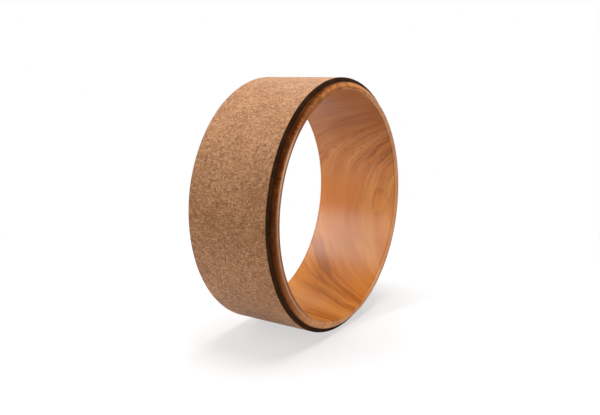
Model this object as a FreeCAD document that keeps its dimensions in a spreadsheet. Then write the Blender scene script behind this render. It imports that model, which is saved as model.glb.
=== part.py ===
"""Yoga wheel: a moulded hoop with a foam cushion and a cork tread bonded round it.

The wheel's axle line is Y, its middle is the origin and +Z is up. Every layer is a
section drawn beside the axle line and turned round it. Sizes are in millimetres.
"""
import FreeCAD
import Part
import Sketcher
import math
import os

# Driving sizes, with the words that the sheet shows beside them
SIZES = {
    "outer_diameter": (335.0, "wheel diameter over the cork"),
    "overall_width": (135.0, "width from lip to lip"),
    "cork_thickness": (1.0, "cork strip"),
    "cork_setback": (10.0, "top of the lip's crown to the cork's cut edge, along the axle line"),
    "cork_seam_gap": (0.4, "butt seam between the ends of the cork strip"),
    "cork_seam_clock": (20.0, "degrees round the axle line from +X to the cork's seam"),
    "cork_bond_thickness": (0.2, "adhesive film under the cork"),
    "cork_edge_clearance": (0.2, "room between the cork's cut edge and the foam's rim"),
    "foam_thickness": (5.5, "foam strip under the cork"),
    "foam_rim_height": (1.4, "rim of the foam beside the cork, above the face under the cork"),
    "foam_heel_height": (1.3, "square foot of the foam's edge, under its slope"),
    "foam_edge_clearance": (0.2, "room between the foam's foot and the hoop's shoulder"),
    "foam_seam_gap": (0.6, "butt seam between the ends of the foam strip"),
    "foam_seam_clock": (-40.0, "degrees round the axle line from +X to the foam's seam"),
    "foam_bond_thickness": (0.2, "adhesive film under the foam"),
    "bond_clearance": (0.15, "room between each film and the round face on either side of it"),
    "film_inset": (1.0, "how far each film stops short of the edge that it holds"),
    "hoop_wall": (10.8, "hoop wall at its lips"),
    "crown_radius": (3.8, "round crown of each lip, beside the bore"),
    "inner_flank_height": (1.6, "top of the crown to the straight bore, along the axle line"),
    "outer_flank_height": (5.6, "top of the crown to the foot of the lip's outer slope, along the axle"),
    "seat_depth": (1.8, "seat for the foam, below the outside of the lips"),
    "shoulder_setback": (7.7, "top of the crown to the shoulder at each end of the foam's seat"),
}

# Numbers that the sketcher uses for places on a curve, its level axis and its origin
START = 1
END = 2
CENTRE = 3
LEVEL_AXIS = -1
ORIGIN = (-1, 1)


class Length:
    """A length that knows its value now and the formula on the sheet that drives it."""

    def __init__(self, formula, value):
        self.formula = formula
        self.value = value

    def __add__(self, other):
        return Length(f"{self.formula} + ({other.formula})", self.value + other.value)

    def __sub__(self, other):
        return Length(f"{self.formula} - ({other.formula})", self.value - other.value)

    def __mul__(self, factor):
        return Length(f"({self.formula}) * {factor}", self.value * factor)

    def __truediv__(self, divisor):
        return Length(f"({self.formula}) / {divisor}", self.value / divisor)


def cell(name):
    """The length that a cell of the sheet holds."""
    return Length("sizes." + name, SIZES[name][0])


# Radii, worked inwards from the tread
CORK_OUTER = cell("outer_diameter") / 2
CORK_FILM = CORK_OUTER - cell("cork_thickness") - cell("bond_clearance")
FOAM_OUTER = CORK_FILM - cell("cork_bond_thickness") - cell("bond_clearance")
FOAM_RIM = FOAM_OUTER + cell("foam_rim_height")
FOAM_INNER = FOAM_OUTER - cell("foam_thickness")
FOAM_HEEL = FOAM_INNER + cell("foam_heel_height")
FOAM_FILM = FOAM_INNER - cell("bond_clearance")
SEAT = FOAM_FILM - cell("foam_bond_thickness") - cell("bond_clearance")
LIP_OUTER = SEAT + cell("seat_depth")
BORE = LIP_OUTER - cell("hoop_wall")
CROWN_RADIUS = cell("crown_radius")

# Half widths along the axle line
LIP_HALF = cell("overall_width") / 2
CORK_HALF = LIP_HALF - cell("cork_setback")
FOAM_RIM_HALF = CORK_HALF + cell("cork_edge_clearance")
SEAT_HALF = LIP_HALF - cell("shoulder_setback")
FOAM_BASE_HALF = SEAT_HALF - cell("foam_edge_clearance")
LAND_HALF = LIP_HALF - cell("outer_flank_height")
BORE_HALF = LIP_HALF - cell("inner_flank_height")
CROWN_HALF = LIP_HALF - CROWN_RADIUS


def point(radius, along):
    """A sketch point at a radius from the axle line and a place along it."""
    return FreeCAD.Vector(radius, along, 0)


def make_sheet(doc):
    """Put the driving sizes in a sheet whose cells carry their names."""
    sheet = doc.addObject("Spreadsheet::Sheet", "sizes")
    for row, (name, (value, words)) in enumerate(SIZES.items(), start=1):
        sheet.set(f"A{row}", words)
        sheet.set(f"B{row}", str(value))
        sheet.setAlias(f"B{row}", name)
    doc.recompute()


def start_section(doc, name):
    """Open a body with an empty section sketch on its XY plane."""
    body = doc.addObject("PartDesign::Body", name)
    body.Label = name
    plane = next(item for item in body.Origin.OriginFeatures if item.Role == "XY_Plane")
    sketch = body.newObject("Sketcher::SketchObject", name + "_section")
    sketch.AttachmentSupport = [(plane, "")]
    sketch.MapMode = "FlatFace"
    return body, sketch


def draw(sketch, curves):
    """Draw a closed outline, anticlockwise, whose lines run smoothly into its arcs."""
    places = [sketch.addGeometry(curve) for curve in curves]
    round_ones = [isinstance(curve, Part.ArcOfCircle) for curve in curves]
    for now, place in enumerate(places):
        following = (now + 1) % len(places)
        kind = "Tangent" if round_ones[now] or round_ones[following] else "Coincident"
        hold(sketch, kind, place, END, places[following], START)
    return places


def draw_corners(sketch, corners):
    """Draw a closed outline of straight sides through (radius, along) corners, anticlockwise."""
    points = [point(*corner) for corner in corners]
    return draw(sketch, [Part.LineSegment(*ends) for ends in zip(points, points[1:] + points[:1])])


def hold(sketch, kind, *places):
    """Add a geometric constraint that has no size."""
    sketch.addConstraint(Sketcher.Constraint(kind, *places))


def balance(sketch, side):
    """Keep a side's two ends even about the wheel's middle plane."""
    hold(sketch, "Symmetric", side, START, side, END, LEVEL_AXIS)


def size(sketch, name, length, kind, *places):
    """Add a dimension of the given kind and bind it to the sheet."""
    index = sketch.addConstraint(Sketcher.Constraint(kind, *places, length.value))
    sketch.renameConstraint(index, name)
    sketch.setExpression("Constraints." + name, length.formula)


def revolve(body, sketch, turn):
    """Turn a section round the axle line, evenly to both sides of its plane."""
    ring = body.newObject("PartDesign::Revolution", body.Label + "_ring")
    ring.Profile = sketch
    ring.ReferenceAxis = (sketch, ["V_Axis"])
    ring.Midplane = True
    ring.setExpression("Angle", turn)


def wrap(body, sketch, radius, strip):
    """Turn a strip's section almost the whole way round, and turn its butt seam into place."""
    revolve(body, sketch, f"360 - sizes.{strip}_seam_gap / ({radius.formula}) * 180 / pi")
    axle_line = FreeCAD.Vector(0, 1, 0)
    body.Placement = FreeCAD.Placement(point(0, 0), FreeCAD.Rotation(axle_line, 180))
    body.setExpression("Placement.Rotation.Angle", f"180 + sizes.{strip}_seam_clock")


def touch_angle(corner, centre, side):
    """Angle on the crown at which a straight flank from a corner runs into it."""
    reach = corner - centre
    return math.atan2(reach.y, reach.x) + side * math.acos(CROWN_RADIUS.value / reach.Length)


def lip_curves(upward):
    """One lip's long outer slope, its round crown and the short slope into its bore.

    upward is 1 for the lip on +Y and -1 for the lip on -Y. The curves come in
    anticlockwise order: outside first on +Y, and bore first on -Y.
    """
    crown = CROWN_RADIUS.value
    centre = point(BORE.value + crown, upward * CROWN_HALF.value)
    outer_corner = point(LIP_OUTER.value, upward * LAND_HALF.value)
    inner_corner = point(BORE.value, upward * BORE_HALF.value)
    outer_angle = touch_angle(outer_corner, centre, upward)
    inner_angle = touch_angle(inner_corner, centre, -upward)
    circle = Part.Circle(centre, FreeCAD.Vector(0, 0, 1), crown)
    arc = Part.ArcOfCircle(circle, min(outer_angle, inner_angle), max(outer_angle, inner_angle))
    if upward > 0:
        first, last = (outer_corner, arc.StartPoint), (arc.EndPoint, inner_corner)
    else:
        first, last = (inner_corner, arc.StartPoint), (arc.EndPoint, outer_corner)
    return [Part.LineSegment(*first), arc, Part.LineSegment(*last)]


def make_hoop(doc):
    """The moulded hoop: a plain bore, sloping lips with round crowns, and a seat between shoulders."""
    body, sketch = start_section(doc, "hoop")
    lower = lip_curves(-1)
    upper = lip_curves(1)
    shoulder = SEAT_HALF.value
    outside = [lower[-1].EndPoint, point(LIP_OUTER.value, -shoulder), point(SEAT.value, -shoulder)]
    outside += [point(SEAT.value, shoulder), point(LIP_OUTER.value, shoulder), upper[0].StartPoint]
    outside_lines = [Part.LineSegment(*ends) for ends in zip(outside, outside[1:])]
    bore_line = Part.LineSegment(upper[-1].EndPoint, lower[0].StartPoint)
    sides = draw(sketch, lower + outside_lines + upper + [bore_line])
    lower_inner, lower_crown, lower_outer, lower_land, lower_step, seat = sides[:6]
    upper_step, upper_land, upper_outer, upper_crown, upper_inner, bore = sides[6:]
    for step, land in ((lower_step, lower_land), (upper_step, upper_land)):
        hold(sketch, "Horizontal", step)
        hold(sketch, "Vertical", land)
    hold(sketch, "Equal", lower_crown, upper_crown)
    hold(sketch, "Symmetric", lower_crown, CENTRE, upper_crown, CENTRE, LEVEL_AXIS)
    hold(sketch, "Symmetric", lower_outer, END, upper_outer, START, LEVEL_AXIS)
    balance(sketch, seat)
    balance(sketch, bore)
    size(sketch, "seat_radius", SEAT, "DistanceX", *ORIGIN, seat, START)
    size(sketch, "seat_depth", cell("seat_depth"), "DistanceX", upper_step, START, upper_step, END)
    size(sketch, "seat_width", SEAT_HALF * 2, "DistanceY", seat, START, seat, END)
    size(sketch, "wall", cell("hoop_wall"), "DistanceX", upper_inner, END, upper_outer, START)
    size(sketch, "bore_length", BORE_HALF * 2, "DistanceY", bore, END, bore, START)
    size(sketch, "crown_radius", CROWN_RADIUS, "Radius", upper_crown)
    size(sketch, "crown_height", CROWN_HALF, "DistanceY", *ORIGIN, upper_crown, CENTRE)
    size(sketch, "crown_inset", CROWN_RADIUS, "DistanceX", upper_inner, END, upper_crown, CENTRE)
    size(sketch, "land_height", LAND_HALF, "DistanceY", *ORIGIN, upper_outer, START)
    revolve(body, sketch, "360")
    return body


def make_strip(doc, name, outer, thickness, half, wrapped_radius, strip):
    """A plain strip of even thickness, wrapped round the wheel up to its butt seam."""
    body, sketch = start_section(doc, name)
    inner = outer - thickness
    low_inner = (inner.value, -half.value)
    low_outer = (outer.value, -half.value)
    high_outer = (outer.value, half.value)
    high_inner = (inner.value, half.value)
    lower, outside, upper, inside = draw_corners(sketch, [low_inner, low_outer, high_outer, high_inner])
    hold(sketch, "Horizontal", lower)
    hold(sketch, "Horizontal", upper)
    hold(sketch, "Vertical", inside)
    balance(sketch, outside)
    size(sketch, "outer_radius", outer, "DistanceX", *ORIGIN, outside, START)
    size(sketch, "thickness", thickness, "DistanceX", lower, START, lower, END)
    size(sketch, "width", half * 2, "DistanceY", outside, START, outside, END)
    wrap(body, sketch, wrapped_radius, strip)
    return body


def make_foam_bond(doc):
    """The adhesive film that holds the foam in the hoop's seat."""
    half = FOAM_BASE_HALF - cell("film_inset")
    return make_strip(doc, "foam_bond", FOAM_FILM, cell("foam_bond_thickness"), half, FOAM_OUTER, "foam")


def make_foam_band(doc):
    """The foam strip: a square foot in the seat, and sloping edges with a rim beside the cork."""
    body, sketch = start_section(doc, "foam_band")
    base_half = FOAM_BASE_HALF.value
    rim_half = FOAM_RIM_HALF.value
    half_way = [(FOAM_INNER.value, base_half), (FOAM_HEEL.value, base_half)]
    half_way += [(FOAM_RIM.value, rim_half), (FOAM_OUTER.value, rim_half)]
    lower_way = [(radius, -along) for radius, along in half_way]
    sides = draw_corners(sketch, lower_way + half_way[::-1])
    lower_heel, _, lower_rim, tread, upper_rim, _, upper_heel, base = sides
    for side in (lower_heel, lower_rim, upper_rim, upper_heel):
        hold(sketch, "Horizontal", side)
    hold(sketch, "Equal", lower_heel, upper_heel)
    hold(sketch, "Equal", lower_rim, upper_rim)
    balance(sketch, base)
    balance(sketch, tread)
    size(sketch, "outer_radius", FOAM_OUTER, "DistanceX", *ORIGIN, tread, START)
    size(sketch, "thickness", cell("foam_thickness"), "DistanceX", base, END, tread, START)
    size(sketch, "heel", cell("foam_heel_height"), "DistanceX", lower_heel, START, lower_heel, END)
    size(sketch, "rim", cell("foam_rim_height"), "DistanceX", lower_rim, END, lower_rim, START)
    size(sketch, "base_width", FOAM_BASE_HALF * 2, "DistanceY", base, END, base, START)
    size(sketch, "recess_width", FOAM_RIM_HALF * 2, "DistanceY", tread, START, tread, END)
    wrap(body, sketch, FOAM_OUTER, "foam")
    return body


def make_cork_bond(doc):
    """The adhesive film that holds the cork on the foam."""
    half = CORK_HALF - cell("film_inset")
    return make_strip(doc, "cork_bond", CORK_FILM, cell("cork_bond_thickness"), half, CORK_OUTER, "cork")


def make_cork_cover(doc):
    """The cork strip that is the wheel's tread."""
    return make_strip(doc, "cork_cover", CORK_OUTER, cell("cork_thickness"), CORK_HALF, CORK_OUTER, "cork")


def check(doc, bodies):
    """Stop if an object failed, a sketch is loose or a piece isn't one sound solid."""
    for item in doc.Objects:
        if "Invalid" in item.State or "Error" in item.State:
            raise RuntimeError(f"{item.Label} failed: {item.State}")
        if item.TypeId == "Sketcher::SketchObject" and not item.FullyConstrained:
            raise RuntimeError(f"{item.Label} is not fully constrained")
    for body in bodies:
        if body.Shape.isNull() or not body.Shape.isValid() or len(body.Shape.Solids) != 1:
            raise RuntimeError(f"{body.Label} is not one sound solid")


def main():
    """Build the wheel from the hoop outwards and write each piece."""
    doc = FreeCAD.newDocument("yoga_wheel")
    make_sheet(doc)
    makers = (make_hoop, make_foam_bond, make_foam_band, make_cork_bond, make_cork_cover)
    bodies = [maker(doc) for maker in makers]
    doc.recompute()
    check(doc, bodies)
    os.makedirs("parts", exist_ok=True)
    for body in bodies:
        body.Shape.exportStep(os.path.join("parts", body.Label + ".step"))
        print(body.Label, round(body.Shape.Volume), "cubic mm")


main()
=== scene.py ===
"""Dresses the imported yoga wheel: its printed hoop, foam cushion and cork tread, in a plain studio.

The wheel's axle line is Y, its middle is the origin and +Z is up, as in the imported
model. Lengths are in metres. A clock angle is measured round the axle line from +X
towards +Z.
"""
import logging
import math
from dataclasses import dataclass
from enum import Enum
from typing import Any

import bpy
import numpy as np
from mathutils import Matrix, Vector


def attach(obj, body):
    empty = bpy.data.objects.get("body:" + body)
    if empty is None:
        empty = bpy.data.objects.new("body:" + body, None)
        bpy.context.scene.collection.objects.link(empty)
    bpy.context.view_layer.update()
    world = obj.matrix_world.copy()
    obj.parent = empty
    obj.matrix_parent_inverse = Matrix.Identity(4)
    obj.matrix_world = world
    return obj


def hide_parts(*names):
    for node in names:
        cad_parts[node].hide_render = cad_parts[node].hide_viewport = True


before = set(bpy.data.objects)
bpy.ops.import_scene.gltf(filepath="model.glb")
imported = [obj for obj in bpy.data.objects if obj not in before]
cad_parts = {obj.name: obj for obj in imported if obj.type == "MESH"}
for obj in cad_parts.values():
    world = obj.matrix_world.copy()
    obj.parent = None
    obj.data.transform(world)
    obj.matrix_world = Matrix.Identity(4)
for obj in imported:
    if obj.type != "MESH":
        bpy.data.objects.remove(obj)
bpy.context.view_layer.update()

LOG = logging.getLogger("yoga_wheel")
MM = 0.001
TURN = 2.0 * math.pi
BODY = "root"

Colour = tuple[float, float, float]
Place = tuple[float, float, float]
Span = tuple[float, float]
WHITE: Colour = (1.0, 1.0, 1.0)
UP = Vector((0.0, 0.0, 1.0))
SHARP_EDGE = math.radians(40.0)
END_STEPS = 6
WAVES = ((5.0, 0.5), (11.0, 0.3), (23.0, 0.2))
EDGE_SHIFTS = (0.6, 2.4)
EDGE_KEENNESS = 6
LEAST_LENGTH = 1e-9


class Node(Enum):
    """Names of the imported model's nodes."""

    HOOP = "hoop"
    FOAM_BOND = "foam_bond"
    FOAM_BAND = "foam_band"
    CORK_BOND = "cork_bond"
    CORK_COVER = "cork_cover"


class Slot(Enum):
    """Names of the record's material slots."""

    HOOP_PRINT = "hoop_print"
    FOAM = "foam"
    CORK = "cork"


def linear(*levels: float) -> Colour:
    """Turn red, green and blue as a screen shows them, from 0 to 255, into linear light from 0 to 1."""
    shares = (level / 255.0 for level in levels)
    return tuple(s / 12.92 if s <= 0.04045 else ((s + 0.055) / 1.055) ** 2.4 for s in shares)


class Signal:
    """A socket that gives a value, colour or vector. Arithmetic on values adds Math nodes."""

    def __init__(self, graph: "ShaderGraph", socket: bpy.types.NodeSocket) -> None:
        """Wrap one output socket of a graph."""
        self.graph = graph
        self.socket = socket

    def __add__(self, other: "Operand") -> "Signal":
        """The sum of two values."""
        return self.graph.math("ADD", self, other)

    def __sub__(self, other: "Operand") -> "Signal":
        """The first value less the second."""
        return self.graph.math("SUBTRACT", self, other)

    def __rsub__(self, other: "Operand") -> "Signal":
        """The first value less the second."""
        return self.graph.math("SUBTRACT", other, self)

    def __mul__(self, other: "Operand") -> "Signal":
        """The product of two values."""
        return self.graph.math("MULTIPLY", self, other)

    __rmul__ = __mul__

    def lifted(self, least: float, more: float) -> "Signal":
        """The least result, plus the value times what it adds."""
        return self * more + least

    def between(self, first: float, second: float) -> "Signal":
        """A smooth step from 0 at the first value to 1 at the second, which may be the lower one."""
        sockets = {"Value": self, "From Min": first, "From Max": second}
        made = self.graph.node("ShaderNodeMapRange", {"interpolation_type": "SMOOTHSTEP"}, sockets)
        return Signal(self.graph, made.outputs["Result"])


Operand = Signal | float


class ShaderGraph:
    """A node tree with one way to add any node, and short names for the usual ones."""

    def __init__(self, tree: bpy.types.NodeTree) -> None:
        """Empty a tree and take it over."""
        self.tree = tree
        tree.nodes.clear()

    @classmethod
    def for_material(cls, name: str) -> tuple[bpy.types.Material, "ShaderGraph"]:
        """Make a material with an empty tree.

        Args:
            name: The material's name.

        Returns:
            The material and its graph.
        """
        material = bpy.data.materials.new(name)
        material.use_nodes = True
        return material, cls(material.node_tree)

    def node(
        self,
        kind: str,
        settings: dict[str, Any] | None = None,
        sockets: dict[str | int, Any] | None = None,
    ) -> bpy.types.Node:
        """Add a node, set it up and then feed its sockets.

        Args:
            kind: The node's type.
            settings: Its properties, and under "stops" a ramp's places and colours.
            sockets: Values or signals for its inputs, by name or number.

        Returns:
            The node.
        """
        made = self.tree.nodes.new(kind)
        for name, value in (settings or {}).items():
            if name == "stops":
                self._set_stops(made.color_ramp, value)
            else:
                setattr(made, name, value)
        for name, value in (sockets or {}).items():
            self._feed(made.inputs[name], value)
        return made

    def _set_stops(self, ramp: bpy.types.ColorRamp, stops: list[tuple[float, Colour]]) -> None:
        """Give a ramp its places and colours, in order."""
        while len(ramp.elements) < len(stops):
            ramp.elements.new(1.0)
        for element, (place, colour) in zip(ramp.elements, stops):
            element.position = place
            element.color = (*colour, 1.0)

    def _feed(self, socket: bpy.types.NodeSocket, value: Any) -> None:
        """Link a signal to an input, or set the input's own value."""
        if isinstance(value, Signal):
            self.tree.links.new(value.socket, socket)
        elif isinstance(value, bpy.types.NodeSocket):
            self.tree.links.new(value, socket)
        elif socket.type == "RGBA" and len(value) == 3:
            socket.default_value = (*value, 1.0)
        else:
            socket.default_value = value

    def math(self, operation: str, *values: Operand) -> Signal:
        """Add a Math node on one or two values."""
        made = self.node("ShaderNodeMath", {"operation": operation}, dict(enumerate(values)))
        return Signal(self, made.outputs[0])

    def total(self, signals: list[Signal], weights: tuple[float, ...]) -> Signal:
        """The sum of signals, each times its weight."""
        first, *others = (signal * weight for signal, weight in zip(signals, weights))
        return sum(others, first)

    def vector(self, operation: str, *values: Any, result: str = "Vector") -> Signal:
        """Add a Vector Math node, and give its vector or its value."""
        made = self.node("ShaderNodeVectorMath", {"operation": operation}, dict(enumerate(values)))
        return Signal(self, made.outputs[result])

    def mix(self, first: Any, second: Any, share: Operand) -> Signal:
        """Lay a share of the second colour over the first."""
        made = self.node("ShaderNodeMix", {"data_type": "RGBA"}, {0: share, 6: first, 7: second})
        return Signal(self, made.outputs[2])

    def ramp(self, value: Signal, stops: list[tuple[float, Colour]]) -> Signal:
        """Turn a value into a colour by a ramp's stops."""
        made = self.node("ShaderNodeValToRGB", {"stops": stops}, {"Fac": value})
        return Signal(self, made.outputs["Color"])

    def object_place(self) -> Signal:
        """The place on the piece, in the wheel's frame."""
        return Signal(self, self.node("ShaderNodeTexCoord").outputs["Object"])

    def axes(self, place: Signal) -> tuple[Signal, Signal, Signal]:
        """Part a vector into its three values."""
        made = self.node("ShaderNodeSeparateXYZ", None, {"Vector": place})
        return tuple(Signal(self, socket) for socket in made.outputs)

    def combine(self, across: Operand, along: Operand, height: Operand) -> Signal:
        """Join three values into a vector."""
        made = self.node("ShaderNodeCombineXYZ", None, {0: across, 1: along, 2: height})
        return Signal(self, made.outputs["Vector"])

    def noise(self, place: Signal, scale: float, detail: float = 2.0, rough: float = 0.5) -> Signal:
        """Soft noise about one half."""
        sockets = {"Vector": place, "Scale": scale, "Detail": detail, "Roughness": rough}
        return Signal(self, self.node("ShaderNodeTexNoise", None, sockets).outputs["Fac"])

    def bend(self, place: Signal, scale: float) -> Signal:
        """Soft noise about nought, as a vector."""
        sockets = {"Vector": place, "Scale": scale, "Detail": 2.0}
        noise = self.node("ShaderNodeTexNoise", None, sockets).outputs["Color"]
        return self.vector("SUBTRACT", noise, (0.5, 0.5, 0.5))

    def bent(self, place: Signal, bend: Signal, amount: float) -> Signal:
        """A place moved by an amount of a bend."""
        return self.vector("MULTIPLY_ADD", bend, (amount,) * 3, place)

    def cells(self, place: Signal, scale: float, feature: str = "F1") -> bpy.types.Node:
        """A field of irregular cells."""
        settings = {"feature": feature}
        return self.node("ShaderNodeTexVoronoi", settings, {"Vector": place, "Scale": scale})

    def cell_draw(self, cells: bpy.types.Node) -> Signal:
        """One even random number for each cell."""
        made = self.node("ShaderNodeSeparateColor", None, {"Color": cells.outputs["Color"]})
        return Signal(self, made.outputs[0])

    def bump(self, height: Signal, strength: float, distance: float) -> Signal:
        """A surface normal that follows a height."""
        sockets = {"Height": height, "Strength": strength, "Distance": distance}
        return Signal(self, self.node("ShaderNodeBump", None, sockets).outputs["Normal"])

    def surface(self, sockets: dict[str, Any]) -> None:
        """Close a material with a Principled surface."""
        shader = self.node("ShaderNodeBsdfPrincipled", None, sockets)
        self.node("ShaderNodeOutputMaterial", None, {"Surface": shader.outputs[0]})


@dataclass(frozen=True)
class Streak:
    """One size of streak along the grain: how many to the metre, and breadth over length."""

    scale: float
    draw: float

    def noise(self, field: Signal, place: Signal) -> Signal:
        """Irregular streaks that run along lines of an even field.

        Args:
            field: The value that is even along a streak.
            place: The place on the piece.

        Returns:
            Noise about one half, long along the streaks and short across them.
        """
        graph = place.graph
        across, along, height = graph.axes(place)
        side = along * self.draw + across * (0.5 * self.draw)
        return graph.noise(graph.combine(field, side, height * self.draw), self.scale, 3.0, 0.58)


@dataclass(frozen=True)
class Coat:
    """A colour, the limits between which a signal brings it on, and how much of it shows."""

    colour: Colour
    limits: Span
    share: float = 1.0

    def over(self, ground: Signal, signal: Signal, mask: Signal) -> Signal:
        """Lay the coat over a ground, where a signal passes its limits and a mask lets it."""
        return ground.graph.mix(ground, self.colour, signal.between(*self.limits) * mask * self.share)


@dataclass(frozen=True)
class WoodPrint:
    """Orange-brown wood grain printed on moulded plastic, under a satin lacquer.

    The grain's lines are nested arcs that open towards the -Y lip, with their apexes in
    a line along the +X side of the bore. They crowd together above and spread below, and
    a faint knot lies among them. Under its middle the wall is quiet and glossiest, with
    broad dark bands below. Above it the colour is darkened as painted shade, with a painted
    sheen towards the +Y lip. Over the lips the colour darkens towards the foam, most on
    the -X side, where fine lines cross their upper part and a painted highlight runs along
    the crown. Their lowest part is paler too, as painted light from above. On the +X side
    a painted shade line runs inside each lip, with a painted highlight strip beyond it.
    """

    pale: Colour = linear(238, 166, 90)
    warm: Colour = linear(219, 134, 57)
    dark: Colour = linear(165, 89, 29)
    ember: Colour = linear(217, 134, 54)
    deep: Colour = linear(106, 53, 22)
    shaded: Colour = linear(140, 88, 62)
    crown: Colour = linear(132, 72, 36)
    # The pale colour of the painted highlights, painted sheen and painted light on the lips and wall.
    painted_highlight: Colour = linear(232, 182, 146)
    edge: Colour = linear(80, 36, 13)

    bore: float = 0.151
    apex_way: Place = (0.9833, 0.0, -0.1822)
    climb_way: Place = (0.1822, 0.0, 0.9833)
    bow: float = 5.0
    lean: float = 11.8
    flare: float = 108.0
    sway: float = 0.010
    sway_scale: float = 14.0

    upper: Span = (0.0, 0.050)
    lower: Span = (-0.050, -0.090)
    lowest: Span = (-0.066, -0.100)
    quiet_head: Span = (0.0, -0.035)
    quiet_foot: Span = (-0.115, -0.085)
    calm_reach: Span = (-0.042, 0.012)
    near_reach: Span = (0.040, -0.045)
    ember_share: float = 0.72
    calm_share: float = 0.60
    low_quiet: float = 0.8
    hushed: float = 0.6

    bands: Streak = Streak(46.0, 0.10)
    broad: Streak = Streak(28.0, 0.12)
    lines: Streak = Streak(150.0, 0.05)
    pores: Streak = Streak(320.0, 0.20)
    fibres: Streak = Streak(430.0, 0.05)
    band_stops: tuple[float, ...] = (0.20, 0.42, 0.68)
    low_dark: Coat = Coat(dark, (0.51, 0.40), 0.68)
    low_pale: Coat = Coat(pale, (0.55, 0.67), 0.56)
    low_near: Coat = Coat(dark, (-0.010, -0.060), 0.16)
    quiet_pale: Coat = Coat(pale, (0.52, 0.66), 0.34)
    quiet_dark: Coat = Coat(dark, (0.46, 0.36), 0.10)
    line_coat: Coat = Coat(deep, (0.50, 0.66))
    line_shares: Span = (0.20, 0.42)
    line_fading: float = 0.85
    dash_scale: float = 85.0
    dash_limits: Span = (0.36, 0.60)
    dash_shares: Span = (0.5, 0.5)
    pore_coat: Coat = Coat(deep, (0.54, 0.68))
    pore_shares: Span = (0.18, 0.36)
    fibre_dark: Coat = Coat(deep, (0.50, 0.72), 0.30)
    fibre_pale: Coat = Coat(pale, (0.48, 0.28), 0.40)

    knot: Place = (0.149, -0.041, -0.024)
    knot_shape: Place = (0.62, 1.0, 0.62)
    knot_radius: float = 0.0120
    knot_coat: Coat = Coat(dark, (0.0042, 0.0), 0.32)
    knot_break_scale: float = 95.0
    knot_break: Span = (0.34, 0.60)

    inside: Span = (0.1535, 0.1515)
    left: Span = (0.03, -0.13)
    right: Span = (0.03, 0.09)
    raised: Span = (-0.150, -0.095)
    shade: Coat = Coat(shaded, (-0.010, 0.140), 0.80)
    # Painted sheen: a pale haze laid over the upper wall, towards the +Y lip.
    painted_sheen: Coat = Coat(painted_highlight, (0.0, 0.050), 0.13)
    sheen_foot: Span = (0.030, 0.085)
    sheen_head: Span = (0.148, 0.120)
    crown_shares: Span = (0.22, 0.62)
    crease_reach: float = 0.0634
    # Painted shade: a dark line where the bore meets each lip, on the +X side.
    crease_shade: Coat = Coat(crown, (0.0012, 0.0), 0.50)
    lit_strip_limits: Span = (0.0634, 0.0656)
    # Painted highlight: a pale strip along each lip beyond the shade line, on the +X side.
    lit_strip_shares: Span = (0.12, 0.5)
    crossing_squeeze: Place = (1.0, 0.15, 1.0)
    crossing_scale: float = 76.0
    crossed: Coat = Coat(crown, (0.50, 0.60), 0.50)
    hatch_squeeze: Place = (0.5, 0.10, 1.0)
    hatch_scale: float = 430.0
    hatch_heights: Span = (-0.040, 0.030)
    hatch_depth: float = 0.0036
    hatch_warm: Coat = Coat(warm, (0.50, 0.38), 0.12)
    hatch_dark: Coat = Coat(edge, (0.48, 0.62), 0.36)
    edge_limits: Span = (0.1597, 0.1631)
    edge_growth: float = 0.0026
    edge_heights: Span = (-0.110, -0.020)
    edge_share: float = 0.96
    edge_break: Span = (0.40, 0.62)
    edge_break_share: float = 0.22
    # Painted highlight along the crown of each lip, strongest on the -X side.
    glint_radius: float = 0.1568
    glint_breadth: float = 0.0017
    glint_head: Span = (0.125, 0.085)
    glint_rise: Span = (0.0, 0.055)
    glint_risen: Span = (0.48, 0.52)
    glint_left: Span = (0.22, 0.72)
    glint_raised: Span = (0.2, 0.8)
    # Painted light: the lowest part of each lip made paler, as if lit from above.
    lit_foot_share: float = 0.34

    roughness: Span = (0.29, 0.10)
    ripple_scale: float = 240.0
    relief: Span = (0.10, 0.0003)
    lacquer_roughness: float = 0.30
    gloss_foot: Span = (-0.130, -0.095)
    gloss_head: Span = (0.090, 0.010)
    gloss_least: float = 0.30
    gloss_wall: float = 0.15
    gloss_low: float = 0.55

    def grain_field(self, place: Signal) -> Signal:
        """A value that is even along each line of the grain.

        It is the place along the axle line, plus spread * (bow + lean * climb), plus
        flare * spread squared. Spread is the square of the chord from the arcs' apex,
        and climb is how high the place lies over it.

        Args:
            place: The place on the piece, bent a little.

        Returns:
            The field, in metres.
        """
        graph = place.graph
        toward = graph.vector("DOT_PRODUCT", place, self.apex_way, result="Value")
        climb = graph.vector("DOT_PRODUCT", place, self.climb_way, result="Value")
        spread = (self.bore - toward) * (2.0 * self.bore)
        leaning = spread * (climb * self.lean + self.bow)
        return graph.axes(place)[1] + leaning + spread * spread * self.flare

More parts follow.
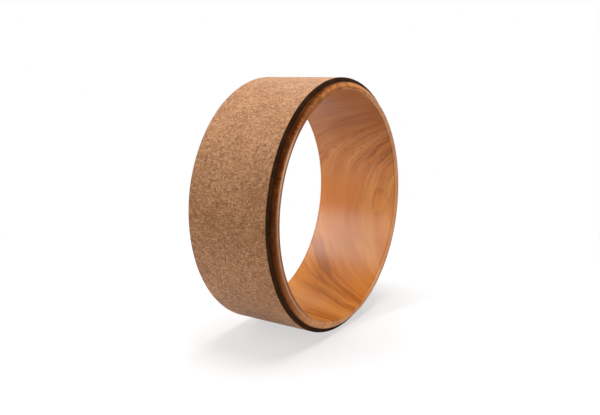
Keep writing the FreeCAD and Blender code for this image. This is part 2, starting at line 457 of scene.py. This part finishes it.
    def grain(self, place: Signal) -> Signal:
        """The print's colour on the bore, before shading and the lips.

        Args:
            place: The place on the piece.

        Returns:
            Broad bands, fine lines, pores, fibres and the knot's oval, over each other.
        """
        graph = place.graph
        along, height = graph.axes(place)[1:]
        bent = graph.bent(place, graph.bend(place, self.sway_scale), self.sway)
        field = self.grain_field(bent)
        upper, lower = height.between(*self.upper), height.between(*self.lower)
        calm = (1.0 - upper) * (1.0 - lower) * along.between(*self.calm_reach)
        quiet = height.between(*self.quiet_head) * height.between(*self.quiet_foot)
        lined = 1.0 - graph.math("MAXIMUM", quiet, lower * self.low_quiet) * self.hushed
        sizes = (self.bands, self.broad, self.lines, self.pores, self.fibres)
        bands, broad, lines, pores, fibres = (size.noise(field, place) for size in sizes)
        colour = graph.ramp(bands, list(zip(self.band_stops, (self.dark, self.warm, self.pale))))
        colour = graph.mix(colour, self.ember, lower * self.ember_share)
        colour = self.low_dark.over(colour, broad, height.between(*self.lowest))
        colour = self.low_pale.over(colour, broad, lower)
        colour = self.low_near.over(colour, along, lower)
        colour = self.quiet_pale.over(colour, broad, quiet)
        colour = self.quiet_dark.over(colour, broad, quiet)
        near = along.between(*self.near_reach) * upper
        dashed = graph.noise(place, self.dash_scale, 2.0).between(*self.dash_limits)
        marked = near.lifted(*self.line_shares) * dashed.lifted(*self.dash_shares)
        marked = marked * (1.0 - lower * self.line_fading)
        colour = self.line_coat.over(colour, lines, marked * lined)
        colour = self.pore_coat.over(colour, pores, upper.lifted(*self.pore_shares) * lined)
        colour = self.fibre_dark.over(colour, fibres, lined)
        colour = self.fibre_pale.over(colour, fibres, lined)
        colour = graph.mix(colour, self.warm, calm * self.calm_share)
        knot_away = graph.vector("MULTIPLY", graph.vector("SUBTRACT", bent, self.knot), self.knot_shape)
        oval = graph.vector("LENGTH", knot_away, result="Value")
        broken = graph.noise(place, self.knot_break_scale, 3.0).between(*self.knot_break)
        return self.knot_coat.over(colour, graph.math("ABSOLUTE", oval - self.knot_radius), broken)

    def finished(self, place: Signal) -> tuple[Signal, Signal, Signal]:
        """The print's colour everywhere, with its painted shade, painted highlights and dark edge.

        Args:
            place: The place on the piece.

        Returns:
            The colour, the share of the dark edge, and the share of the bore's plain wall.
        """
        graph = place.graph
        across, along, height = graph.axes(place)
        out = graph.math("SQRT", across * across + height * height)
        inside = out.between(*self.inside)
        lip = 1.0 - inside
        left, right = across.between(*self.left), across.between(*self.right)
        raised = height.between(*self.raised)
        # Painted sheen on the upper wall.
        sheened = height.between(*self.sheen_foot) * height.between(*self.sheen_head) * inside
        colour = self.shade.over(self.grain(place), height, inside)
        colour = self.painted_sheen.over(colour, along, sheened)
        colour = graph.mix(colour, self.crown, lip * left.lifted(*self.crown_shares) * raised)
        reach = graph.math("ABSOLUTE", along)
        from_crease = graph.math("ABSOLUTE", reach - self.crease_reach)
        # Painted shade line inside each lip on the +X side.
        colour = self.crease_shade.over(colour, from_crease, inside * right)
        squeezed = graph.vector("MULTIPLY", place, self.crossing_squeeze)
        crossing = graph.noise(squeezed, self.crossing_scale, 3.0)
        colour = self.crossed.over(colour, crossing, lip * raised)
        squeezed = graph.vector("MULTIPLY", place, self.hatch_squeeze)
        hatching = graph.noise(squeezed, self.hatch_scale, 2.0)
        hatched = lip * left * height.between(*self.hatch_heights)
        colour = self.hatch_warm.over(colour, hatching, hatched)
        colour = self.hatch_dark.over(colour, hatching, hatched)
        # How far in the lips darken towards the foam; it reaches further on the -X side.
        dark_reach = out + left * height.between(*self.edge_heights) * self.edge_growth
        dark_reach = dark_reach + (hatching - 0.5) * hatched * self.hatch_depth
        rim = dark_reach.between(*self.edge_limits)
        gaps = crossing.between(*self.edge_break) * self.edge_break_share
        colour = graph.mix(colour, self.edge, rim * (self.edge_share - gaps))
        # Painted highlight: a pale line along each lip's crown.
        glint_band = graph.math("ABSOLUTE", out - self.glint_radius).between(self.glint_breadth, 0.0)
        risen = height.between(*self.glint_rise).lifted(*self.glint_risen)
        glint = glint_band * (height.between(*self.glint_head) * risen) * left.lifted(*self.glint_left)
        colour = graph.mix(colour, self.painted_highlight, glint * raised.lifted(*self.glint_raised))
        # Painted light on the lowest part of each lip.
        foot = lip * (1.0 - raised) * (1.0 - rim)
        colour = graph.mix(colour, self.painted_highlight, foot * self.lit_foot_share)
        # Painted highlight strip beyond the shade line on the +X side.
        beyond = reach.between(*self.lit_strip_limits) * (1.0 - rim)
        strip = beyond * right * crossing.lifted(*self.lit_strip_shares)
        return graph.mix(colour, self.painted_highlight, strip), rim, inside

    def material(self) -> bpy.types.Material:
        """Build the finish.

        Returns:
            The material.
        """
        material, graph = ShaderGraph.for_material("wood_print")
        place = graph.object_place()
        colour, rim, inside = self.finished(place)
        height = graph.axes(place)[2]
        glossy = height.between(*self.gloss_foot) * height.between(*self.gloss_head) * inside
        polish = glossy * self.gloss_low + inside * self.gloss_wall + self.gloss_least
        ripple = graph.noise(place, self.ripple_scale, 1.0)
        graph.surface({
            "Base Color": colour,
            "Roughness": ripple.lifted(*self.roughness),
            "Specular IOR Level": 0.0,
            "Coat Weight": polish * (1.0 - rim),
            "Coat Roughness": self.lacquer_roughness,
            "Normal": graph.bump(ripple, *self.relief),
        })
        return material


@dataclass(frozen=True)
class PressedCork:
    """Sanded sheet of pressed cork granules, with bark flecks and pale chips."""

    ground: Colour = linear(165, 110, 61)
    light: Colour = linear(201, 150, 103)
    brown: Colour = linear(130, 77, 27)
    bark: Colour = linear(112, 60, 10)
    seam: Colour = linear(110, 66, 25)
    stops: tuple[float, ...] = (0.08, 0.50, 0.95)
    granule: float = 590.0
    crumb: float = 1400.0
    cloud: float = 34.0
    tone_weights: tuple[float, ...] = (0.44, 0.36, 0.70)
    tone_drop: float = 0.25
    relief_weights: tuple[float, ...] = (0.35, 0.25, 0.40, -0.70, -0.30)
    across_stretch: float = 0.55
    bend: float = 300.0
    raggedness: float = 0.0016
    sliver_raggedness: float = 0.0022
    sliver_core: Span = (0.56, 0.40)
    laid: Place = (0.80, 0.36, 0.80)
    crossed: Place = (0.42, 1.00, 0.42)
    bark_draw: Span = (0.87, 0.90)
    bark_share: float = 0.92
    bark_gloss: float = 0.10
    chip_draw: Span = (0.13, 0.10)
    chip_share: float = 0.82
    gap: Span = (0.07, 0.0)
    gap_share: float = 0.38
    gap_dullness: float = 0.06
    grit: float = 2600.0
    grit_limits: Span = (0.55, 0.75)
    grit_share: float = 0.24
    relief: Span = (0.46, 0.0004)
    roughness: float = 0.64
    specular: float = 0.48
    sheen: float = 0.10
    sheen_roughness: float = 0.45

    def slivers(self, place: Signal, bend: Signal, squeeze: Place) -> list[Signal]:
        """Slivers of bark and pale chips that lie one way in the sheet.

        Args:
            place: The place on the piece.
            bend: Small vectors that make the slivers' outlines ragged.
            squeeze: Factors on the place, smallest along the slivers.

        Returns:
            Where bark shows, and where chips do.
        """
        graph = place.graph
        squeezed = graph.vector("MULTIPLY", place, squeeze)
        cells = graph.cells(graph.bent(squeezed, bend, self.sliver_raggedness), self.granule)
        draw = graph.cell_draw(cells)
        core = Signal(graph, cells.outputs["Distance"]).between(*self.sliver_core)
        return [draw.between(*limits) * core for limits in (self.bark_draw, self.chip_draw)]

    def material(self) -> bpy.types.Material:
        """Build the finish.

        Returns:
            The material.
        """
        material, graph = ShaderGraph.for_material("pressed_cork")
        place = graph.object_place()
        bend = graph.bend(place, self.bend)
        lain = graph.vector("MULTIPLY", place, (1.0, self.across_stretch, 1.0))
        ragged = graph.bent(lain, bend, self.raggedness)
        granule_draw = graph.cell_draw(graph.cells(ragged, self.granule))
        crumb_draw = graph.cell_draw(graph.cells(ragged, self.crumb))
        cloud = graph.noise(place, self.cloud, 4.0, 0.6)
        tone = graph.total([granule_draw, crumb_draw, cloud], self.tone_weights) - self.tone_drop
        colour = graph.ramp(tone, list(zip(self.stops, (self.brown, self.ground, self.light))))
        ways = (self.slivers(place, bend, squeeze) for squeeze in (self.laid, self.crossed))
        bark, chip = (graph.math("MAXIMUM", *pair) for pair in zip(*ways))
        colour = graph.mix(colour, self.bark, bark * self.bark_share)
        colour = graph.mix(colour, self.light, chip * self.chip_share)
        edges = graph.cells(ragged, self.granule, "DISTANCE_TO_EDGE")
        gap = Signal(graph, edges.outputs["Distance"]).between(*self.gap)
        colour = graph.mix(colour, self.seam, gap * self.gap_share)
        grit = graph.noise(place, self.grit, 2.0)
        colour = graph.mix(colour, self.brown, grit.between(*self.grit_limits) * self.grit_share)
        height = graph.total([granule_draw, crumb_draw, grit, gap, bark], self.relief_weights)
        graph.surface({
            "Base Color": colour,
            "Roughness": self.roughness - self.bark_gloss * bark + self.gap_dullness * gap,
            "Specular IOR Level": self.specular,
            "Sheen Weight": self.sheen,
            "Sheen Roughness": self.sheen_roughness,
            "Normal": graph.bump(height, *self.relief),
        })
        return material


@dataclass(frozen=True)
class BlackFoam:
    """Matt black closed-cell foam with fine pores and a dusty bloom."""

    black: Colour = linear(56, 36, 22)
    bloom: Colour = linear(76, 50, 33)
    pore: Colour = linear(24, 14, 8)
    pore_scale: float = 1500.0
    pore_limits: Span = (0.42, 0.12)
    pore_share: float = 0.6
    dust_scale: float = 60.0
    dust_limits: Span = (0.42, 0.66)
    dust_share: float = 0.8
    skin_scale: float = 900.0
    relief: Span = (0.45, 0.0003)
    roughness: Span = (0.72, 0.12)
    sheen: float = 0.03

    def material(self) -> bpy.types.Material:
        """Build the finish.

        Returns:
            The material.
        """
        material, graph = ShaderGraph.for_material("black_foam")
        place = graph.object_place()
        pores = graph.cells(place, self.pore_scale)
        pit = Signal(graph, pores.outputs["Distance"]).between(*self.pore_limits)
        dust = graph.noise(place, self.dust_scale, 4.0, 0.6)
        colour = graph.mix(self.black, self.bloom, dust.between(*self.dust_limits) * self.dust_share)
        colour = graph.mix(colour, self.pore, pit * self.pore_share)
        height = graph.noise(place, self.skin_scale, 2.0) * 0.5 - pit * 0.5
        graph.surface({
            "Base Color": colour,
            "Roughness": dust.lifted(*self.roughness),
            "Specular IOR Level": 0.0,
            "Sheen Weight": self.sheen,
            "Normal": graph.bump(height, *self.relief),
        })
        return material


@dataclass(frozen=True)
class AdhesiveFilm:
    """Thin milky adhesive, a little uneven where it was rolled on."""

    milky: Colour = linear(214, 206, 190)
    thin: Colour = linear(168, 156, 136)
    squeeze: Place = (1.0, 0.2, 1.0)
    scale: float = 160.0
    limits: Span = (0.35, 0.70)
    relief: Span = (0.2, 0.0002)
    roughness: Span = (0.38, 0.2)

    def material(self) -> bpy.types.Material:
        """Build the finish.

        Returns:
            The material.
        """
        material, graph = ShaderGraph.for_material("adhesive_film")
        place = graph.object_place()
        rolled = graph.noise(graph.vector("MULTIPLY", place, self.squeeze), self.scale, 3.0)
        graph.surface({
            "Base Color": graph.mix(self.milky, self.thin, rolled.between(*self.limits)),
            "Roughness": rolled.lifted(*self.roughness),
            "Normal": graph.bump(rolled, *self.relief),
        })
        return material


@dataclass(frozen=True)
class PaleFloor:
    """Matt pale floor that takes the wheel's shadow and fades to a white background far off."""

    pale: Colour = (0.96, 0.96, 0.96)
    dim: Colour = (0.92, 0.92, 0.92)
    glow: float = 0.60
    roughness: float = 0.9
    fade_from: float = 0.26
    fade_to: float = 0.80

    def material(self) -> bpy.types.Material:
        """Build the finish.

        Returns:
            The material.
        """
        material, graph = ShaderGraph.for_material("pale_floor")
        place = graph.object_place()
        away = graph.vector("LENGTH", place, result="Value").between(self.fade_from, self.fade_to)
        seen = seen_rays(graph)
        matt = graph.node("ShaderNodeBsdfPrincipled", None, {
            "Base Color": graph.mix(self.dim, self.pale, seen),
            "Roughness": self.roughness,
            "Specular IOR Level": 0.0,
        })
        white = graph.node("ShaderNodeEmission", None, {"Color": WHITE, "Strength": 1.0})
        share = away.lifted(self.glow, 1.0 - self.glow) * seen
        sockets = {0: share, 1: matt.outputs[0], 2: white.outputs[0]}
        both = graph.node("ShaderNodeMixShader", None, sockets)
        graph.node("ShaderNodeOutputMaterial", None, {"Surface": both.outputs[0]})
        return material


def seen_rays(graph: ShaderGraph) -> Signal:
    """One for rays from the camera, off gloss and through glass, and nought for light rays.

    Args:
        graph: The graph that gets the nodes.

    Returns:
        The share of such rays.
    """
    path = graph.node("ShaderNodeLightPath")
    names = ("Is Camera Ray", "Is Glossy Ray", "Is Transmission Ray")
    camera, glossy, through = (Signal(graph, path.outputs[name]) for name in names)
    return graph.math("MAXIMUM", graph.math("MAXIMUM", camera, glossy), through)


def straight(start: tuple[float, float], stop: tuple[float, float], steps: int) -> np.ndarray:
    """Points (radius, along) on a straight run: start + share * (stop - start), without the stop."""
    share = np.arange(steps)[:, None] / steps
    return np.asarray(start) + share * (np.asarray(stop) - np.asarray(start))


def bow(centre: tuple[float, float], radius: float, start: float, stop: float, steps: int) -> np.ndarray:
    """Points on a round of a section, from its start up to but without its stop.

    Args:
        centre: The round's centre, as radius and place along the axle line.
        radius: The round's radius.
        start: Angle of the first point, in degrees anticlockwise from outwards.
        stop: Angle of the last point, which the next run begins with.
        steps: Number of points.

    Returns:
        Points, one to a row: centre + radius * (cosine, sine) of the angle.
    """
    angle = np.radians(start + (stop - start) * np.arange(steps) / steps)
    return np.asarray(centre) + radius * np.column_stack([np.cos(angle), np.sin(angle)])


def mirrored(half: np.ndarray, inner: float) -> np.ndarray:
    """Close a section: its half, the point at its inner middle, and the half mirrored."""
    return np.vstack([half, [[inner, 0.0]], half[:0:-1] * (1.0, -1.0)])


def grid_faces(rows: int, columns: int, rows_close: bool, columns_close: bool) -> np.ndarray:
    """Four-cornered faces over a grid of points, with seams closed where asked.

    Args:
        rows: Points along the section.
        columns: Sections round the wheel.
        rows_close: Whether the last row joins the first.
        columns_close: Whether the last column joins the first.

    Returns:
        Corner numbers, four to a row, facing outwards for an anticlockwise section.
    """
    row = np.arange(rows if rows_close else rows - 1)[:, None]
    column = np.arange(columns if columns_close else columns - 1)[None, :]
    next_row, next_column = (row + 1) % rows, (column + 1) % columns
    corners = (row * columns + column, next_row * columns + column)
    corners += (next_row * columns + next_column, row * columns + next_column)
    return np.stack(np.broadcast_arrays(*corners), axis=-1).reshape(-1, 4)


def turned(radius: np.ndarray, along: np.ndarray, clock: np.ndarray) -> np.ndarray:
    """Carry a section round the axle: rows of (radius * cosine, along, radius * sine) of the clock."""
    grid = np.broadcast_arrays(radius * np.cos(clock), along, radius * np.sin(clock))
    return np.stack(grid, axis=-1).reshape(-1, 3)


def put_piece(name: str, points: np.ndarray, faces: list[list[int]]) -> bpy.types.Object:
    """Make a smooth-shaded mesh object at the origin.

    Args:
        name: The piece's name.
        points: Its points, one to a row.
        faces: Its faces' corner numbers.

    Returns:
        The object, linked to the scene.
    """
    mesh = bpy.data.meshes.new(name)
    mesh.from_pydata(points.tolist(), [], faces)
    mesh.shade_smooth()
    mesh.set_sharp_from_angle(angle=SHARP_EDGE)
    piece = bpy.data.objects.new(name, mesh)
    bpy.context.scene.collection.objects.link(piece)
    return piece


def dress(piece: bpy.types.Object, material: bpy.types.Material) -> None:
    """Give a piece one material."""
    piece.data.materials.clear()
    piece.data.materials.append(material)


def stand_for(piece: bpy.types.Object, node: Node) -> None:
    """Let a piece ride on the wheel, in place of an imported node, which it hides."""
    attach(piece, BODY)
    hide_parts(node.value)


@dataclass
class PrintedHoop:
    """The moulded hoop: round crowns beside its bore, sloping flanks and a seat for the foam."""

    bore: float = 151.0 * MM
    wall: float = 10.8 * MM
    half_width: float = 67.5 * MM
    crown_radius: float = 3.8 * MM
    land_half: float = 61.9 * MM
    land_round: float = 2.0 * MM
    seat_depth: float = 1.8 * MM
    seat_half: float = 59.8 * MM
    edge_ease: float = 0.35 * MM
    sections: int = 432
    finish: WoodPrint = WoodPrint()

    def section(self) -> np.ndarray:
        """Draw the closed section, anticlockwise.

        Returns:
            Points as (radius, along): seat, step, land, sloping flank, round crown and bore,
            and the same mirrored.
        """
        outside = self.bore + self.wall
        seat = outside - self.seat_depth
        crown = (self.bore + self.crown_radius, self.half_width - self.crown_radius)
        reach = (outside - crown[0], self.land_half - crown[1])
        turn = math.acos(self.crown_radius / math.hypot(*reach))
        slope = math.degrees(math.atan2(reach[1], reach[0]) + turn)
        back = self.land_round * math.tan(math.radians(slope) / 2.0)
        bend = (outside - self.land_round, self.land_half - back)
        flank_foot = bow(bend, self.land_round, slope, slope, 1)[0]
        flank_head = bow(crown, self.crown_radius, slope, slope, 1)[0]
        ease = self.edge_ease
        shoulder = self.seat_half
        upper = np.vstack([
            straight((seat, 0.0), (seat, shoulder), 8),
            straight((seat, shoulder), (outside - ease, shoulder), 2),
            bow((outside - ease, shoulder + ease), ease, -90.0, 0.0, 4),
            straight((outside, shoulder + ease), (outside, bend[1]), 1),
            bow(bend, self.land_round, 0.0, slope, 8),
            straight(tuple(flank_foot), tuple(flank_head), 3),
            bow(crown, self.crown_radius, slope, 180.0, 20),
            straight((self.bore, crown[1]), (self.bore, 0.0), 16),
        ])
        return mirrored(upper, self.bore)

    def build(self) -> bpy.types.Object:
        """Turn the section into a closed ring and dress it.

        Returns:
            The hoop.
        """
        section = self.section()
        clock = np.arange(self.sections) * (TURN / self.sections)
        points = turned(section[:, :1], section[:, 1:], clock)
        faces = grid_faces(len(section), self.sections, True, True)
        hoop = put_piece("printed_hoop", points, faces.tolist())
        dress(hoop, self.finish.material())
        stand_for(hoop, Node.HOOP)
        return hoop


@dataclass
class WrappedStrip:
    """A soft strip wrapped round the wheel until its ends meet in a butt seam."""

    name: str
    seam_clock: float
    seam_gap: float
    end_ease: float
    unevenness: float
    steady_half: float
    sections: int

    def clock(self, radius: float) -> np.ndarray:
        """Clock angles of the strip's sections, closer together at its ends.

        Args:
            radius: Radius at which the seam's gap is measured.

        Returns:
            Angles from one end to the other: even steps, and the end easing's own steps.
        """
        start = math.radians(self.seam_clock) + self.seam_gap / (2.0 * radius)
        stop = start + TURN - self.seam_gap / radius
        ease = self.end_ease / radius
        rise = ease * (1.0 - np.cos(np.linspace(0.0, math.pi / 2.0, END_STEPS)))[:-1]
        body = np.linspace(start + ease, stop - ease, self.sections)
        return np.concatenate([start + rise, body, stop - rise[::-1]])

    def end_drop(self, clock: np.ndarray, radius: float) -> np.ndarray:
        """How far the strip's skin draws in at each section.

        Args:
            clock: Clock angles of the sections.
            radius: Radius at which the easing is measured.

        Returns:
            A quarter round at each end: ease * (1 - sqrt(1 - share squared)), with the
            share from 1 at the end to 0.
        """
        from_end = np.minimum(clock - clock[0], clock[-1] - clock) * radius
        share = np.clip(1.0 - from_end / self.end_ease, 0.0, 1.0)
        return self.end_ease * (1.0 - np.sqrt(1.0 - share**2))

    def waver(self, clock: np.ndarray, shift: float) -> np.ndarray:
        """Slow unevenness of a hand-laid strip round the wheel.

        Args:
            clock: Clock angles of the sections.
            shift: Phase that sets one edge apart from another.

        Returns:
            The sum of three sines, of 5, 11 and 23 waves to the turn, within the strip's
            unevenness. Each has its own share of it, and its own multiple of the shift.
        """
        order = enumerate(WAVES, start=1)
        waves = (size * np.sin(count * clock + nth * shift) for nth, (count, size) in order)
        return self.unevenness * sum(waves)

    def build_strip(self, section: np.ndarray, inner: float, outer: float) -> bpy.types.Object:
        """Carry a section from end to end, ease the ends and close them.

        Args:
            section: Closed section, anticlockwise, as (radius, along).
            inner: The strip's inner radius.
            outer: Its outer radius. The ends draw in towards the middle between the two.

        Returns:
            The strip.
        """
        clock = self.clock(outer)
        drop = self.end_drop(clock, outer)
        away = section - np.asarray(((inner + outer) / 2.0, 0.0))
        length = np.maximum(np.abs(away), LEAST_LENGTH)
        radius = section[:, :1] - np.sign(away[:, :1]) * np.minimum(drop, length[:, :1])
        along = section[:, 1:] - np.sign(away[:, 1:]) * np.minimum(drop, length[:, 1:])
        edge = np.where(away[:, 1:] > 0.0, *(self.waver(clock, shift) for shift in EDGE_SHIFTS))
        share = np.clip(np.abs(away[:, 1:]) / self.steady_half, 0.0, 1.0) ** EDGE_KEENNESS
        points = turned(radius, along + edge * share, clock)
        faces = grid_faces(len(section), len(clock), True, False).tolist()
        first = np.arange(len(section)) * len(clock)
        caps = [first.tolist(), (first + len(clock) - 1)[::-1].tolist()]
        return put_piece(self.name, points, faces + caps)


@dataclass
class FoamBand(WrappedStrip):
    """The black foam strip, with a square foot and softly rounded sloping edges."""

    name: str = "foam_cushion"
    seam_clock: float = 40.0
    seam_gap: float = 0.6 * MM
    end_ease: float = 0.5 * MM
    unevenness: float = 0.15 * MM
    steady_half: float = 57.0 * MM
    sections: int = 420
    inner: float = 160.5 * MM
    recess: float = 166.0 * MM
    recess_half: float = 57.55 * MM
    rim: float = 167.35 * MM
    rim_half: float = 57.75 * MM
    base_half: float = 59.5 * MM
    heel: float = 1.2 * MM
    rim_ease: float = 0.08 * MM
    shoulder_round: float = 0.25 * MM
    heel_round: float = 0.35 * MM
    finish: BlackFoam = BlackFoam()

    def section(self) -> np.ndarray:
        """Draw the closed section, anticlockwise.

        Returns:
            Points as (radius, along): the cork's recess, rim, rounded shoulder, slope, heel
            and base, and the same mirrored.
        """
        ease = self.rim_ease
        heel_top = (self.inner + self.heel, self.base_half)
        lean = math.degrees(math.atan2(self.rim - heel_top[0], self.base_half - self.rim_half))
        back = self.shoulder_round * math.tan(math.radians(lean) / 2.0)
        shoulder = (self.rim - self.shoulder_round, self.rim_half - back)
        touch = bow(shoulder, self.shoulder_round, lean, lean, 1)[0]
        foot = self.heel_round
        upper = np.vstack([
            straight((self.recess, 0.0), (self.recess, self.recess_half), 8),
            straight((self.recess, self.recess_half), (self.rim - ease, self.recess_half), 2),
            bow((self.rim - ease, self.recess_half + ease), ease, -90.0, 0.0, 4),
            straight((self.rim, self.recess_half + ease), (self.rim, shoulder[1]), 1),
            bow(shoulder, self.shoulder_round, 0.0, lean, 8),
            straight(tuple(touch), heel_top, 6),
            straight(heel_top, (self.inner + foot, self.base_half), 2),
            bow((self.inner + foot, self.base_half - foot), foot, 90.0, 180.0, 4),
            straight((self.inner, self.base_half - foot), (self.inner, 0.0), 6),
        ])
        return mirrored(upper, self.inner)

    def build(self) -> bpy.types.Object:
        """Returns:
            The foam strip.
        """
        foam = self.build_strip(self.section(), self.inner, self.recess)
        dress(foam, self.finish.material())
        stand_for(foam, Node.FOAM_BAND)
        return foam


@dataclass
class CorkTread(WrappedStrip):
    """The cork strip that covers the foam, with eased edges and a butt seam."""

    name: str = "cork_tread"
    seam_clock: float = -20.0
    seam_gap: float = 0.4 * MM
    end_ease: float = 0.3 * MM
    unevenness: float = 0.15 * MM
    steady_half: float = 57.0 * MM
    sections: int = 480
    inner: float = 166.5 * MM
    outer: float = 167.5 * MM
    half_width: float = 57.4 * MM
    edge_round: float = 0.2 * MM
    finish: PressedCork = PressedCork()

    def section(self) -> np.ndarray:
        """Draw the closed section, anticlockwise.

        Returns:
            Points as (radius, along): flat tread, rounded edge, square cut and flat
            underside, and the same mirrored.
        """
        ease = self.edge_round
        upper = np.vstack([
            straight((self.outer, 0.0), (self.outer, self.half_width - ease), 14),
            bow((self.outer - ease, self.half_width - ease), ease, 0.0, 90.0, 6),
            straight((self.outer - ease, self.half_width), (self.inner, self.half_width), 2),
            straight((self.inner, self.half_width), (self.inner, 0.0), 6),
        ])
        return mirrored(upper, self.inner)

    def build(self) -> bpy.types.Object:
        """Make the strip and dress it.

        Returns:
            The cork strip.
        """
        cork = self.build_strip(self.section(), self.inner, self.outer)
        dress(cork, self.finish.material())
        stand_for(cork, Node.CORK_COVER)
        return cork


@dataclass
class BondFilms:
    """The two adhesive films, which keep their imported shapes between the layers."""

    finish: AdhesiveFilm = AdhesiveFilm()

    def dress_films(self) -> list[bpy.types.Object]:
        """Give both films the adhesive's finish.

        Returns:
            The films.
        """
        material = self.finish.material()
        films = [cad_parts[node.value] for node in (Node.FOAM_BOND, Node.CORK_BOND)]
        for film in films:
            dress(film, material)
        return films


@dataclass(frozen=True)
class SoftBox:
    """A soft elliptical studio lamp aimed at a point, with its power in watts."""

    name: str
    place: Place
    aim: Place
    width: float
    height: float
    power: float

    def build(self) -> bpy.types.Object:
        """Hang the lamp.

        Returns:
            The lamp.
        """
        lamp = bpy.data.lights.new(self.name, "AREA")
        lamp.shape = "ELLIPSE"
        lamp.size = self.width
        lamp.size_y = self.height
        lamp.energy = self.power
        hung = bpy.data.objects.new(self.name, lamp)
        hung.location = self.place
        direction = Vector(self.aim) - Vector(self.place)
        hung.rotation_euler = direction.to_track_quat("-Z", "Y").to_euler()
        bpy.context.scene.collection.objects.link(hung)
        return hung


@dataclass(frozen=True)
class ViewPoint:
    """The camera: where it stands, how it is turned from the wheel's middle, and its lens."""

    place: Place = (-0.7760863, -0.5081060, 0.1927005)
    pan: float = -0.0055
    tilt: float = -0.0081
    roll: float = -0.0141
    focal_pixels: float = 693.8184
    image_width: float = 600.0
    sensor_width: float = 36.0

    def build(self) -> bpy.types.Object:
        """Set up the camera and make it the scene's own.

        Returns:
            The camera.
        """
        place = Vector(self.place)
        look = -place.normalized()
        right = look.cross(UP).normalized()
        up = right.cross(look)
        look = (look + math.tan(self.pan) * right + math.tan(self.tilt) * up).normalized()
        right = look.cross(UP).normalized()
        up = right.cross(look)
        cosine, sine = math.cos(self.roll), math.sin(self.roll)
        right, up = cosine * right + sine * up, cosine * up - sine * right
        lens = bpy.data.cameras.new("viewpoint")
        lens.sensor_fit = "HORIZONTAL"
        lens.sensor_width = self.sensor_width
        lens.lens = self.focal_pixels * self.sensor_width / self.image_width
        camera = bpy.data.objects.new("viewpoint", lens)
        turn = Matrix((right, up, -look)).transposed()
        camera.matrix_world = Matrix.Translation(place) @ turn.to_4x4()
        bpy.context.scene.collection.objects.link(camera)
        bpy.context.scene.camera = camera
        return camera


@dataclass
class Studio:
    """Pale floor, soft lamps, white surroundings and the camera."""

    floor_level: float = -167.5 * MM
    floor_reach: float = 14.0
    floor_rings: int = 24
    floor_spokes: int = 96
    floor_growth: int = 3
    ambient: float = 0.02
    floor: PaleFloor = PaleFloor()
    view: ViewPoint = ViewPoint()
    lamps: tuple[SoftBox, ...] = (
        SoftBox("overhead", (0.08, -0.12, 2.10), (0.0, 0.0, 0.0), 1.5, 1.4, 45.0),
        SoftBox("rear", (-0.15, 0.70, 2.00), (0.0, 0.0, 0.0), 1.2, 0.9, 6.0),
        SoftBox("behind", (-0.97, 1.18, 1.14), (0.01, 1.18, 0.00), 0.65, 1.8, 20.0),
        SoftBox("beyond", (1.60, 0.50, 1.60), (0.0, 0.0, 0.15), 1.2, 0.8, 10.5),
        SoftBox("front", (-0.25, -2.10, 0.55), (0.0, 0.0, 0.0), 0.4, 1.6, 7.5),
    )

    def build_floor(self) -> bpy.types.Object:
        """Lay a round floor under the wheel.

        Returns:
            The floor: rings of points at (radius * cosine, radius * sine), the radius
            growing with the cube of its share.
        """
        share = np.linspace(0.0, 1.0, self.floor_rings)[1:, None]
        angle = np.arange(self.floor_spokes) * (TURN / self.floor_spokes)
        radius = self.floor_reach * share**self.floor_growth
        level = np.full((len(share), len(angle)), self.floor_level)
        points = np.stack([radius * np.cos(angle), radius * np.sin(angle), level], axis=-1).reshape(-1, 3)
        faces = grid_faces(len(share), len(angle), False, True).tolist()
        faces.append(list(range(len(angle))))
        floor = put_piece("floor", points, faces)
        dress(floor, self.floor.material())
        return floor

    def build_surroundings(self) -> bpy.types.World:
        """Light the scene evenly, and show white where a ray sees past the floor.

        Returns:
            The world.
        """
        world = bpy.data.worlds.new("studio")
        world.use_nodes = True
        graph = ShaderGraph(world.node_tree)
        even = graph.node("ShaderNodeBackground", None, {"Color": WHITE, "Strength": self.ambient})
        seen = graph.node("ShaderNodeBackground", None, {"Color": WHITE, "Strength": 1.0})
        sockets = {0: seen_rays(graph), 1: even.outputs[0], 2: seen.outputs[0]}
        both = graph.node("ShaderNodeMixShader", None, sockets)
        graph.node("ShaderNodeOutputWorld", None, {"Surface": both.outputs[0]})
        bpy.context.scene.world = world
        return world

    def build(self) -> None:
        """Set up the whole studio."""
        self.build_floor()
        self.build_surroundings()
        for lamp in self.lamps:
            lamp.build()
        self.view.build()
        bpy.context.scene.view_settings.view_transform = "Standard"


def main() -> None:
    """Build the wheel from the hoop outwards, then the studio round it."""
    logging.basicConfig(level=logging.INFO, format="%(name)s: %(message)s")
    pieces = [PrintedHoop().build(), FoamBand().build(), CorkTread().build()]
    pieces += BondFilms().dress_films()
    Studio().build()
    for piece in pieces:
        LOG.info("%s: %d faces", piece.name, len(piece.data.polygons))


if __name__ == "__main__":
    main()
